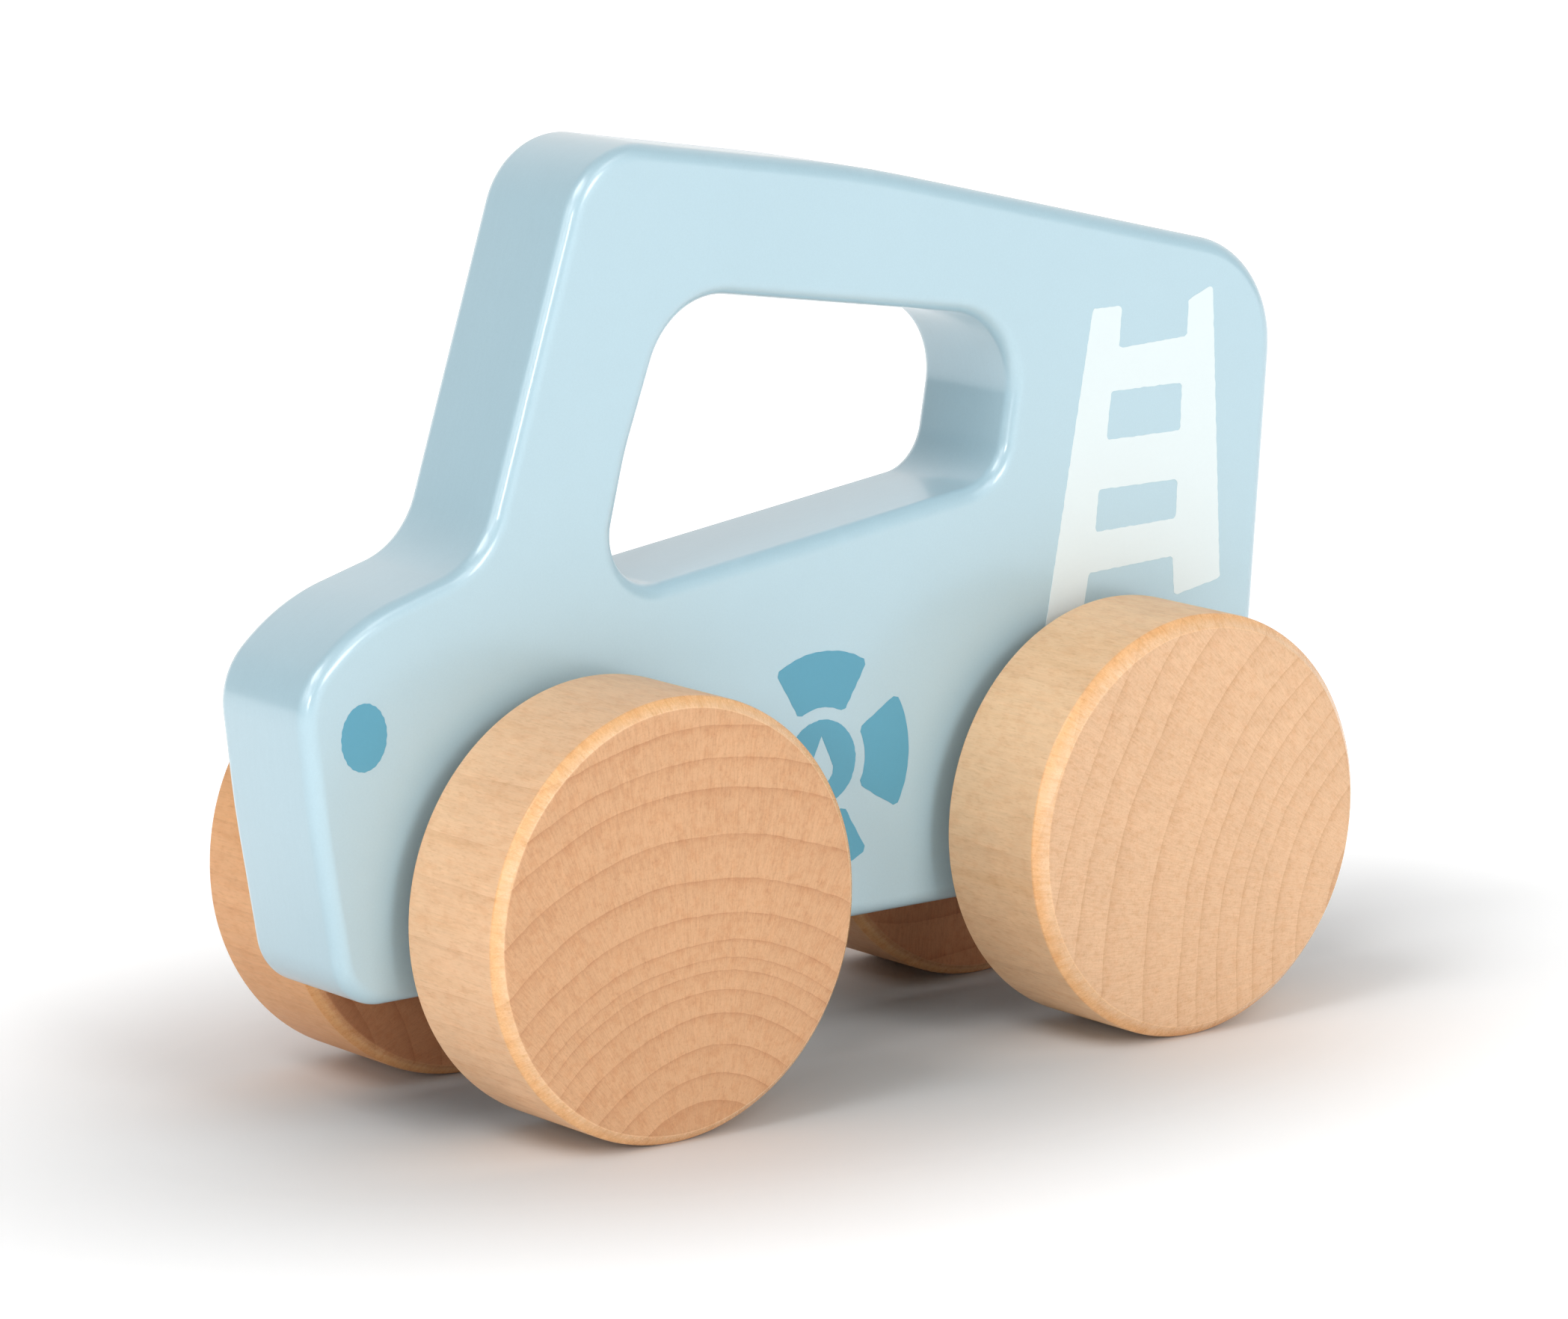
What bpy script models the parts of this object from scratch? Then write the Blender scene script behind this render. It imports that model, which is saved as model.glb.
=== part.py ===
"""Wooden push-along fire engine: one painted board cut to the truck's outline, on two turning wheelsets.

Frame: +X forward, +Y left, +Z up. The origin is on the ground, midway along and across the toy.
Lengths are metres and angles are radians, unless a name says otherwise.
"""

import math

import bmesh
import bpy
from mathutils import Matrix, Vector

MM = 0.001

# Board
BODY_THICKNESS = 17.0 * MM
EDGE_RADIUS = 1.85 * MM
EDGE_STEPS = 2

# Wheels and axles
WHEEL_RADIUS = 25.0 * MM
WHEEL_WIDTH = 17.4 * MM
WHEEL_CHAMFER = 1.3 * MM
WHEEL_SIDES = 64
WHEEL_TO_BODY = 2.2 * MM
AXLE_RADIUS = 4.0 * MM
AXLE_DEPTH_IN_WHEEL = 11.0 * MM
AXLE_END_CHAMFER = 0.6 * MM
AXLE_SIDES = 40
BODY_BORE_CLEARANCE = 0.4 * MM
GLUE_GAP = 0.3 * MM
WHEELBASE = 76.5 * MM
REAR_AXLE_X = -42.0 * MM
AXLE_X = {"rear": REAR_AXLE_X, "front": REAR_AXLE_X + WHEELBASE}

# Printed paint on both faces of the board
PRINT_THICKNESS = 0.1 * MM
PRINT_LIFT = 0.05 * MM
HEADLIGHT_CENTRE = (62.6 * MM, 46.0 * MM)
HEADLIGHT_WIDTH = 6.0 * MM
HEADLIGHT_HEIGHT = 7.6 * MM
BADGE_CENTRE = (-0.9 * MM, 34.9 * MM)
BADGE_DISC_RADIUS = 5.0 * MM
BADGE_RING_INNER = 6.4 * MM
BADGE_RING_OUTER = 13.0 * MM
BADGE_SEGMENTS = 4
BADGE_SEGMENT_SWEEP = math.radians(62)
BADGE_CORNER = 0.5 * MM
DROP_RADIUS = 1.7 * MM
DROP_TIP = 3.1 * MM
DROP_BELOW_CENTRE = 0.9 * MM
LADDER_CORNER = 0.5 * MM

ARC_STEP = math.radians(10)
CIRCLE_STEP = math.radians(12)

# Side outlines: (x, z, corner radius) of each corner, in millimetres
BODY_OUTLINE = [
    (65.3, 15.7, 6.5),  # under the nose
    (69.0, 36.5, 100.0),  # middle of the nose
    (70.8, 51.5, 8.6),  # top of the nose
    (63.0, 58.8, 24.5),  # hood
    (46.2, 63.5, 9.9),  # foot of the windscreen
    (31.8, 108.8, 10.0),  # front of the roof
    (-7.0, 102.8, 176.0),  # middle of the roof
    (-71.1, 87.7, 13.8),  # rear of the roof
    (-65.8, 15.7, 6.2),  # under the tail
]
WINDOW_OUTLINE = [
    (30.4, 57.0, 6.1),
    (26.3, 73.5, 40.0),
    (19.9, 90.9, 10.0),
    (-30.8, 83.5, 9.2),
    (-27.6, 64.8, 6.1),
]
# The ladder is drawn as if seen from below: its stiles widen and spread towards the foot
LADDER_OUTLINE = [
    (-41.4, 83.6),
    (-45.9, 83.6),
    (-45.5, 78.6),
    (-56.2, 79.1),
    (-56.4, 83.4),
    (-60.2, 84.9),
    (-62.0, 49.4),
    (-54.7, 48.1),
    (-54.4, 52.9),
    (-41.2, 52.3),
    (-39.9, 45.5),
    (-34.1, 44.2),
]
LADDER_UPPER_OPENING = [(-44.4, 73.6), (-55.5, 73.6), (-55.3, 67.9), (-43.7, 67.9)]
LADDER_LOWER_OPENING = [(-42.6, 62.1), (-55.0, 62.1), (-54.8, 57.4), (-42.1, 57.1)]

# Colours (linear RGB) and roughness
PAINT_BLUE = ((0.50, 0.69, 0.76), 0.35)
PRINT_TEAL = ((0.14, 0.41, 0.53), 0.4)
PRINT_WHITE = ((0.86, 0.93, 0.94), 0.4)
WOOD = ((0.76, 0.45, 0.23), 0.6)

SIDES = {"left": 1, "right": -1}
LYING_IN_XZ = (math.radians(90), 0, 0)


def clear_scene():
    for obj in list(bpy.data.objects):
        bpy.data.objects.remove(obj, do_unlink=True)


def new_collection(name):
    collection = bpy.data.collections.new(name)
    bpy.context.scene.collection.children.link(collection)
    return collection


def principled(name, colour_and_roughness):
    colour, roughness = colour_and_roughness
    material = bpy.data.materials.new(name)
    material.use_nodes = True
    shader = material.node_tree.nodes["Principled BSDF"]
    shader.inputs["Base Color"].default_value = (*colour, 1)
    shader.inputs["Roughness"].default_value = roughness
    shader.inputs["Metallic"].default_value = 0
    material.diffuse_color = (*colour, 1)
    return material


def add_object(name, data, collection, material=None, location=(0, 0, 0), rotation=(0, 0, 0)):
    obj = bpy.data.objects.new(name, data)
    obj.location = location
    obj.rotation_euler = rotation
    if material:
        data.materials.append(material)
    collection.objects.link(obj)
    return obj


def rounded_corner(before, corner, after, radius):
    """Points along the arc that rounds one corner of an outline."""
    to_before = (before - corner).normalized()
    to_after = (after - corner).normalized()
    half_angle = to_before.angle(to_after) / 2
    bisector = (to_before + to_after).normalized()
    centre = corner + bisector * radius / math.sin(half_angle)
    start = corner + to_before * radius / math.tan(half_angle) - centre
    sweep = start.angle_signed(corner + to_after * radius / math.tan(half_angle) - centre)
    steps = max(2, math.ceil(abs(sweep) / ARC_STEP))
    # mathutils measures a 2D signed angle clockwise
    return [centre + Matrix.Rotation(-sweep * i / steps, 2) @ start for i in range(steps + 1)]


def rounded_outline(corners):
    """Closed outline in metres from (x, z, radius) corners in millimetres."""
    places = [Vector((x, z)) * MM for x, z, _ in corners]
    outline = []
    for i, (_, _, radius) in enumerate(corners):
        after = places[(i + 1) % len(places)]
        outline += rounded_corner(places[i - 1], places[i], after, radius * MM)
    return outline


def with_radius(corners, radius):
    return [(x, z, radius / MM) for x, z in corners]


def flat_shape(name, outlines, thickness, edge_radius=0.0):
    """Filled 2D curve of the outlines, later ones being holes, with its edges rounded if asked."""
    curve = bpy.data.curves.new(name, "CURVE")
    curve.dimensions = "2D"
    curve.fill_mode = "BOTH"
    curve.extrude = thickness / 2 - edge_radius
    curve.bevel_depth = edge_radius
    curve.bevel_resolution = EDGE_STEPS
    curve.offset = -edge_radius
    for outline in outlines:
        spline = curve.splines.new("POLY")
        spline.points.add(len(outline) - 1)
        for point, (x, z) in zip(spline.points, outline):
            point.co = (x, z, 0, 1)
        spline.use_cyclic_u = True
    return curve


def as_closed_mesh(name, curve, collection, material):
    """Mesh object made from a curve, with the loose caps welded on."""
    shape = add_object(name + "_outline", curve, collection)
    bpy.context.view_layer.update()
    graph = bpy.context.evaluated_depsgraph_get()
    mesh = bpy.data.meshes.new_from_object(shape.evaluated_get(graph))
    bpy.data.objects.remove(shape, do_unlink=True)
    welded = bmesh.new()
    welded.from_mesh(mesh)
    bmesh.ops.remove_doubles(welded, verts=welded.verts, dist=0.01 * MM)
    bmesh.ops.recalc_face_normals(welded, faces=welded.faces)
    welded.to_mesh(mesh)
    welded.free()
    mesh.name = name
    return add_object(name, mesh, collection, material, rotation=LYING_IN_XZ)


def turned_shape(name, profile, sides, collection, material):
    """Solid turned about its own Z from (radius, height) points that run from the top to the bottom."""
    mesh = bpy.data.meshes.new(name)
    points = [(radius, 0, height) for radius, height in profile]
    mesh.from_pydata(points, [(i, i + 1) for i in range(len(points) - 1)], [])
    obj = add_object(name, mesh, collection, material)
    screw = obj.modifiers.new("Turn", "SCREW")
    screw.steps = screw.render_steps = sides
    screw.use_merge_vertices = True
    screw.merge_threshold = 0.01 * MM
    screw.use_smooth_shade = True
    return obj


def make_bore_cutter(end, cutters):
    """Rod that cuts the hole for one axle right through the board."""
    radius = AXLE_RADIUS + BODY_BORE_CLEARANCE
    shape = bmesh.new()
    bmesh.ops.create_cone(
        shape,
        cap_ends=True,
        segments=AXLE_SIDES,
        radius1=radius,
        radius2=radius,
        depth=2 * BODY_THICKNESS,
    )
    bore = bpy.data.meshes.new(end + "_bore")
    shape.to_mesh(bore)
    shape.free()
    cutter = add_object(end + "_bore", bore, cutters, None, (AXLE_X[end], 0, WHEEL_RADIUS), LYING_IN_XZ)
    cutter.hide_render = True
    cutter.display_type = "WIRE"
    return cutter


def make_body(parts, cutters):
    outlines = [rounded_outline(BODY_OUTLINE), rounded_outline(WINDOW_OUTLINE)]
    curve = flat_shape("body", outlines, BODY_THICKNESS, EDGE_RADIUS)
    body = as_closed_mesh("body", curve, parts, principled("blue_paint", PAINT_BLUE))
    for end in AXLE_X:
        cut = body.modifiers.new(end + " axle bore", "BOOLEAN")
        cut.operation = "DIFFERENCE"
        cut.solver = "EXACT"
        cut.object = make_bore_cutter(end, cutters)


def wheel_profile():
    """Disc with chamfered edges and a blind hole for the dowel in its inner face, which is at height 0."""
    hole = AXLE_RADIUS + GLUE_GAP
    hole_depth = AXLE_DEPTH_IN_WHEEL + GLUE_GAP
    return [
        (0, WHEEL_WIDTH),
        (WHEEL_RADIUS - WHEEL_CHAMFER, WHEEL_WIDTH),
        (WHEEL_RADIUS, WHEEL_WIDTH - WHEEL_CHAMFER),
        (WHEEL_RADIUS, WHEEL_CHAMFER),
        (WHEEL_RADIUS - WHEEL_CHAMFER, 0),
        (hole, 0),
        (hole, hole_depth),
        (0, hole_depth),
    ]


def axle_profile():
    half_length = BODY_THICKNESS / 2 + WHEEL_TO_BODY + AXLE_DEPTH_IN_WHEEL
    return [
        (0, half_length),
        (AXLE_RADIUS - AXLE_END_CHAMFER, half_length),
        (AXLE_RADIUS, half_length - AXLE_END_CHAMFER),
        (AXLE_RADIUS, -half_length + AXLE_END_CHAMFER),
        (AXLE_RADIUS - AXLE_END_CHAMFER, -half_length),
        (0, -half_length),
    ]


def make_wheelset(end, parts, wood):
    """Dowel with a wheel glued on each end, under an empty on the axis it turns about."""
    pivot = add_object(end + "_wheelset", None, parts, location=(AXLE_X[end], 0, WHEEL_RADIUS))
    axle = turned_shape(end + "_axle", axle_profile(), AXLE_SIDES, parts, wood)
    axle.rotation_euler = LYING_IN_XZ
    axle.parent = pivot
    for side, sign in SIDES.items():
        wheel = turned_shape(f"{end}_{side}_wheel", wheel_profile(), WHEEL_SIDES, parts, wood)
        wheel.location.y = sign * (BODY_THICKNESS / 2 + WHEEL_TO_BODY)
        wheel.rotation_euler.x = -sign * math.radians(90)
        wheel.parent = pivot


def ellipse(centre, width, height):
    steps = round(math.tau / CIRCLE_STEP)
    return [
        Vector((
            centre[0] + width / 2 * math.cos(math.tau * i / steps),
            centre[1] + height / 2 * math.sin(math.tau * i / steps),
        ))
        for i in range(steps)
    ]


def drop_outline(centre):
    """Water drop: a circle low in the disc, drawn up to a point above it."""
    bulb = Vector(centre) - Vector((0, DROP_BELOW_CENTRE))
    tip = Vector(centre) + Vector((0, DROP_TIP))
    touch = math.asin(DROP_RADIUS / (tip - bulb).length)
    steps = round((math.pi + 2 * touch) / CIRCLE_STEP)
    turns = [touch - (math.pi + 2 * touch) * i / steps for i in range(steps + 1)]
    return [tip] + [bulb + DROP_RADIUS * Vector((math.cos(turn), math.sin(turn))) for turn in turns]


def polar(centre, radius, angle):
    return Vector(centre) + radius * Vector((math.cos(angle), math.sin(angle)))


def ring_segment(centre, middle):
    """One segment of the badge's ring: two arcs joined by four small rounded corners."""
    outline = []
    half = BADGE_SEGMENT_SWEEP / 2
    rows = (
        (BADGE_RING_OUTER, BADGE_RING_OUTER - BADGE_CORNER, 1),
        (BADGE_RING_INNER, BADGE_RING_INNER + BADGE_CORNER, -1),
    )
    for radius, near_corner, direction in rows:
        inset = BADGE_CORNER / radius
        outline.append(polar(centre, near_corner, middle - direction * half))
        sweep = 2 * (half - inset)
        steps = math.ceil(sweep / CIRCLE_STEP)
        for i in range(steps + 1):
            outline.append(polar(centre, radius, middle + direction * (sweep * i / steps - sweep / 2)))
        outline.append(polar(centre, near_corner, middle + direction * half))
    return outline


def add_print(name, outlines, sign, parts, material):
    curve = flat_shape(name, outlines, PRINT_THICKNESS)
    stand_off = BODY_THICKNESS / 2 + PRINT_LIFT + PRINT_THICKNESS / 2
    add_object(name, curve, parts, material, (0, sign * stand_off, 0), LYING_IN_XZ)


def make_prints(parts):
    teal = principled("teal_print", PRINT_TEAL)
    white = principled("white_print", PRINT_WHITE)
    ladder = [
        rounded_outline(with_radius(corners, LADDER_CORNER))
        for corners in (LADDER_OUTLINE, LADDER_UPPER_OPENING, LADDER_LOWER_OPENING)
    ]
    headlight = [ellipse(HEADLIGHT_CENTRE, HEADLIGHT_WIDTH, HEADLIGHT_HEIGHT)]
    disc = [
        ellipse(BADGE_CENTRE, 2 * BADGE_DISC_RADIUS, 2 * BADGE_DISC_RADIUS),
        drop_outline(BADGE_CENTRE),
    ]
    for side, sign in SIDES.items():
        add_print(side + "_ladder_print", ladder, sign, parts, white)
        add_print(side + "_headlight_print", headlight, sign, parts, teal)
        add_print(side + "_badge_disc", disc, sign, parts, teal)
        for i in range(BADGE_SEGMENTS):
            segment = ring_segment(BADGE_CENTRE, math.tau * i / BADGE_SEGMENTS)
            add_print(f"{side}_badge_segment_{i + 1}", [segment], sign, parts, teal)


def main():
    clear_scene()
    parts = new_collection("toy_fire_engine")
    cutters = new_collection("cutters")
    cutters.hide_render = True
    make_body(parts, cutters)
    wood = principled("wheel_wood", WOOD)
    for end in AXLE_X:
        make_wheelset(end, parts, wood)
    make_prints(parts)


main()
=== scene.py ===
"""Looks for the wooden push-along fire engine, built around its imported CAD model.

Frame: +X forward, +Y left, +Z up, metres. Lengths are metres unless a name says millimetres.
"""

import math
import random

import bmesh
import bpy
from mathutils import Matrix, Vector


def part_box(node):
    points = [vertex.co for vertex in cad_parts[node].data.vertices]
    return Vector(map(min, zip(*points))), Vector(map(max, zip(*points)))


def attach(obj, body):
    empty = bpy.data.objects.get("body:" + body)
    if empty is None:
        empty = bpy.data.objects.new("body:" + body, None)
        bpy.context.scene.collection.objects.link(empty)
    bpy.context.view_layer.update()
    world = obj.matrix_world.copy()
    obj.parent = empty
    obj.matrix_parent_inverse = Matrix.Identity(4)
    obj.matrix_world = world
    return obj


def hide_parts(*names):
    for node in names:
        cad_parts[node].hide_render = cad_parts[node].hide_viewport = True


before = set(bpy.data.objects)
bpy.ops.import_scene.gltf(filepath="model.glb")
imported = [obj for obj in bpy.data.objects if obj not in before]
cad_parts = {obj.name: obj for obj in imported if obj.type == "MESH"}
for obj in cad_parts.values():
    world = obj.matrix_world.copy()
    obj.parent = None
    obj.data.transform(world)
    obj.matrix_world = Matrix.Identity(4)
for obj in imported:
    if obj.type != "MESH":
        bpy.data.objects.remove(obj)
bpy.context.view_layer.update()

MM = 0.001

# Board: the CAD outline with finer arcs, as (x, z, corner radius) in millimetres
BODY_OUTLINE = [
    (65.3, 15.7, 6.5),  # under the nose
    (69.0, 36.5, 100.0),  # middle of the nose
    (70.8, 51.5, 8.6),  # top of the nose
    (63.0, 58.8, 24.5),  # hood
    (46.2, 63.5, 9.9),  # foot of the windscreen
    (31.8, 108.8, 10.0),  # front of the roof
    (-7.0, 102.8, 176.0),  # middle of the roof
    (-71.1, 87.7, 13.8),  # rear of the roof
    (-65.8, 15.7, 6.2),  # under the tail
]
WINDOW_OUTLINE = [
    (30.4, 57.0, 6.1),
    (26.3, 73.5, 40.0),
    (19.9, 90.9, 10.0),
    (-30.8, 83.5, 9.2),
    (-27.6, 64.8, 6.1),
]
EDGE_RADIUS = 1.85 * MM
EDGE_STEPS = 12
BORE_RADIUS = 4.4 * MM
BORE_SIDES = 64
ARC_STEP = math.radians(2)

# Prints
LADDER_OUTLINE = [
    (-41.4, 83.6),
    (-45.9, 83.6),
    (-45.5, 78.6),
    (-56.2, 79.1),
    (-56.4, 83.4),
    (-60.2, 84.9),
    (-62.0, 49.4),
    (-54.7, 48.1),
    (-54.4, 52.9),
    (-41.2, 52.3),
    (-39.9, 45.5),
    (-34.1, 44.2),
]
LADDER_UPPER_OPENING = [(-44.4, 73.6), (-55.5, 73.6), (-55.3, 67.9), (-43.7, 67.9)]
LADDER_LOWER_OPENING = [(-42.6, 62.1), (-55.0, 62.1), (-54.8, 57.4), (-42.1, 57.1)]
LADDER_CORNER_MM = 0.5
LADDER_ARC_STEP = math.radians(12)
BADGE_SEGMENTS = 4
BADGE_SEGMENT_SWEEP = math.radians(62)
BADGE_RING_INNER = 6.4 * MM
BADGE_CORNER = 0.5 * MM
DROP_RADIUS = 1.7 * MM
DROP_TIP = 3.1 * MM
DROP_BELOW_CENTRE = 0.9 * MM
INK_THICKNESS = 0.04 * MM
INK_SINK = 0.01 * MM
INK_EDGE_STEP = 0.22 * MM
INK_EDGE_WAVER = 0.03 * MM
INK_EDGE_WAVES = 9
INK_SHORTEST_WAVE = 5  # in points of the outline
SMOOTH_SIDES = 120

# Wheels
INNER_CHAMFER = 1.3 * MM
CHAMFER_WAVER = 0.10 * MM
CHAMFER_SOFTNESS = 0.6 * MM
CHAMFER_ARC_STEP = math.radians(9)
CHAMFER_WAVES = ((2, 0.5), (5, 0.3), (11, 0.2))  # waves in a turn, and their share of the waver
HOLE_RADIUS = 4.3 * MM
HOLE_DEPTH = 11.3 * MM
WHEEL_SIDES = 288
FLAT_MARGIN = 1.2 * MM
HOLE_MARGIN = 0.8 * MM
RING_REACH_MM = 80.0  # further from any pith than any of the wood
RIM_MM = 25.0  # radius of a wheel
INNER_FACE_MM = 8.5  # a little less than half a wheel's width

# Each wheel's wood: linear colours, and the pith's place and the growth rings' radii in millimetres
WHEEL_LOOKS = {
    "front_left_wheel": {
        "chamfer_mm": 1.2,
        "pith": (-3.0, -34.0),
        "rings": (13.5, 16.6, 19.8, 23.4, 26.1, 28.3, 29.7, 31.7, 34.9, 38.9, 43.7, 48.7, 51.8, 55.2),
        "ray_scale": 34.0,
        "ring_strength": 1.0,
        "end": (0.709, 0.409, 0.221),
        "rim": (0.90, 0.572, 0.334),
        "chamfer": (0.90, 0.60, 0.355),
    },
    "rear_left_wheel": {
        "chamfer_mm": 1.5,
        "pith": (-40.8, -17.4),
        "rings": (22.0, 26.1, 29.8, 32.9, 35.3, 38.4, 41.5, 44.3, 49.9, 56.2, 60.2, 64.1, 68.0),
        "ray_scale": 45.0,
        "ring_strength": 0.8,
        "end": (0.789, 0.513, 0.311),
        "rim": (0.884, 0.582, 0.338),
        "chamfer": (0.90, 0.60, 0.36),
    },
    # The right wheels are darker and redder than the left: partly the wood's own difference, partly painted
    # shade for these far-side wheels
    "front_right_wheel": {
        "chamfer_mm": 1.35,
        "pith": (30.0, -26.0),
        "rings": (18.0, 22.5, 26.0, 28.5, 32.0, 36.5, 40.0, 43.0, 47.5, 51.0, 55.5, 59.0, 63.0),
        "ray_scale": 40.0,
        "ring_strength": 0.9,
        "end": (0.73, 0.377, 0.195),
        "rim": (0.80, 0.43, 0.205),
        "chamfer": (0.80, 0.47, 0.24),
    },
    "rear_right_wheel": {
        "chamfer_mm": 1.25,
        "pith": (8.0, 38.0),
        "rings": (16.0, 19.5, 24.0, 29.0, 33.0, 36.0, 39.5, 44.0, 47.0, 50.5, 55.0, 60.0),
        "ray_scale": 38.0,
        "ring_strength": 0.9,
        "end": (0.74, 0.388, 0.20),
        "rim": (0.69, 0.385, 0.20),
        "chamfer": (0.78, 0.48, 0.26),
    },
}
DOWEL_LOOK = {
    "pith": (9.0, 6.0),
    "rings": (7.0, 9.0, 11.5, 14.0),
    "ray_scale": 11.0,
    "ring_strength": 0.8,
    "end": (0.70, 0.44, 0.25),
    "rim": (0.78, 0.52, 0.31),
    "chamfer": (0.74, 0.46, 0.25),
}

# Wood noise: size of its features in millimetres along X, Y and Z, detail and roughness. A ray's sizes are
# around the pith, along Y and out from the pith, and a stroke's are around the rim and along Y.
WOOD_NOISE = {
    "sway": ((20, 60, 20), 1.0, 0.5),
    "tremble": ((1.8, 9, 1.8), 2.0, 0.5),
    "breaks": ((3, 12, 3), 2.0, 0.5),
    "fine_rays": ((0.16, 1.2, 1.6), 2.0, 0.6),
    "broad_rays": ((0.75, 4.0, 5.0), 2.0, 0.5),
    "fibres": ((0.14, 5.0, 0.14), 2.0, 0.6),
    "figure": ((1.6, 22.0, 1.6), 3.0, 0.5),
    "blotches": ((9, 14, 9), 2.0, 0.5),
    "fleck": ((1.1, 2.4, 1.1), 3.0, 0.6),
    "pores": ((0.24, 1.3, 0.24), 2.0, 0.6),
    "strokes": ((0.32, 1.6, 1.0), 3.0, 0.65),
}
# The values of a noise between which its mark comes in
WOOD_MARKS = {
    "fine_rays": (0.35, 0.75),
    "figure": (0.5, 0.75),
    "fleck": (0.42, 0.72),
    "pores": (0.48, 0.78),
    "strokes": (0.4, 0.75),
}
# What the colour is multiplied by where a mark is full
WOOD_TINTS = {
    "late_wood": (0.93, 0.89, 0.86),
    "boundary": (0.875, 0.80, 0.74),
    "fine_rays": (0.895, 0.855, 0.82),
    "figure": (0.955, 0.92, 0.87),
    "fleck": (0.95, 0.89, 0.84),
    "pores": (0.90, 0.86, 0.82),
    "strokes": (0.94, 0.86, 0.76),
    "chamfer_edge": (1.0, 0.88, 0.72),
    # Painted shade: a darker, browner tint on each wheel's inner face, which looks at the board
    "inner_face": (0.86, 0.74, 0.68),
}
# How far the brightness moves with each noise
WOOD_CONTRAST = {"broad_rays": 0.13, "fibres": 0.17, "blotches": 0.10}
WOOD_RELIEF_MM = {
    "fibres": 0.012,
    "fine_rays": 0.006,
    "boundary": -0.010,
    "figure": 0.02,
    "chamfer_strokes": 0.03,
}
WOOD_IOR = 1.45
WOOD_END_ROUGHNESS = 0.62
WOOD_RIM_ROUGHNESS = 0.50
WOOD_CHAMFER_ROUGHNESS_DROP = -0.24
WOOD_FIBRE_ROUGHNESS = 0.10
WOOD_SPREAD_MM = 400
SWAY_MM = 2.2
TREMBLE_MM = 0.28
LATE_WOOD_POWER = 2.6
BOUNDARY_POWER = 16.0
BOUNDARY_BREAKS = (0.25, 0.6, 0.35, 1.0)  # low and high noise, then the boundary's strength at each
RIM_RING_STRENGTH = 0.42
RIM_RAY_STRENGTH = 0.25
# How squarely the surface faces sideways where an end, or a chamfer, starts and is full
END_FACING = (0.84, 0.98)
CHAMFER_FACING = (0.12, 0.5)
# Distances from the axle where the chamfer's outer edge starts and is full, and the same for the painted
# shade on the inner face, from the wheel's middle
CHAMFER_EDGE_MM = (RIM_MM - 1.3, RIM_MM - 0.2)
INNER_FACE_SHADE_RANGE_MM = (INNER_FACE_MM - 0.4, INNER_FACE_MM)

# Paint and ink, with their noise as for the wood
PAINT_BLUE = (0.442, 0.626, 0.708)
TEAL_INK = (0.103, 0.362, 0.50)
WHITE_INK = (0.755, 0.85, 0.865)
TEAL_MOTTLE = 0.06
WHITE_MOTTLE = 0.03
PAINT_OFFSET_MM = (31, 17, -12)
PAINT_NOISE = {
    "peel": ((1.1, 1.1, 1.1), 2.0, 0.5),
    "mist": ((0.22, 0.22, 0.22), 2.0, 0.6),
    "clouds": ((26, 26, 26), 2.0, 0.5),
    "drift": ((5, 5, 5), 2.0, 0.5),
    "bend": ((14, 14, 14), 1.0, 0.5),
    "sanding": ((5.0, 0.35, 5.0), 3.0, 0.6),
}
PAINT_BEND_MM = (5, 3, 5)
PAINT_EDGE_FACING = (0.05, 0.5)
PAINT_ROUND_FACING = (0.10, 0.45)
PAINT_FLAT_FACING = (0.9, 0.995)
# Rounded edges lighter in patches: thinner paint there, and partly a painted highlight
PAINT_THIN_AND_SHEEN = (0.55, 0.8)
PAINT_STREAKS = (0.35, 0.75)
PAINT_THIN_AND_SHEEN_TINT = (1.05, 1.035, 1.03)
PAINT_STREAK_TINT = (0.985, 0.988, 0.99)
PAINT_CONTRAST = {"clouds": 0.035, "drift": 0.02, "mist": 0.08}
PAINT_ROUGHNESS = 0.36
PAINT_MIST_ROUGHNESS = 0.06
PAINT_DRIFT_ROUGHNESS = 0.05
PAINT_STREAK_ROUGHNESS = 0.02
PAINT_RELIEF_MM = {"peel": 0.014, "mist": 0.0045, "edge_sanding": 0.0006}
PAINT_COAT = {"Coat_Weight": 1.0, "Coat_Roughness": 0.2, "Coat_IOR": 1.6}
INK_NOISE = {"cover": ((0.5, 0.5, 0.5), 3.0, 0.6), "clouds": ((7, 7, 7), 2.0, 0.5)}
INK_CLOUD_SHARE = 0.6
INK_ROUGHNESS = 0.42
INK_COVER_ROUGHNESS = 0.10
INK_RELIEF_MM = {"peel": 0.012, "mist": 0.004}

# Floor: each range holds the distances where it starts and ends, as shares of the ellipse's half lengths,
# and then the values there
FLOOR_SIZE = 3.0
FLOOR_SEGMENTS = 8
FLOOR_ELLIPSE_MM = (75, 45)
# Whiteness: painted shade under the object, white further out
FLOOR_WHITENESS_WITH_PAINTED_SHADE = (0.3, 1.4, 0.60, 0.95)
FLOOR_GLOW = (0.8, 2.2, 0.0, 0.46)
FLOOR_NOISE = ((3, 3, 3), 2.0, 0.5)
FLOOR_CONTRAST = 0.004
FLOOR_RELIEF_MM = 0.002
FLOOR_ROUGHNESS = 0.85
FLOOR_GRAIN_ROUGHNESS = 0.02

# Camera: where it looks, the way back to it, and its lens
CAMERA_TARGET = Vector((-2.2, 0.0, 45.4)) * MM
CAMERA_BACK = Vector((0.61245, 0.76617, 0.19465))
CAMERA_DISTANCE = 754.3 * MM
CAMERA_LENS_MM = 150.57
CAMERA_ROLL = math.radians(0.117)
CAMERA_SENSOR_MM = 36.0

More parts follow.
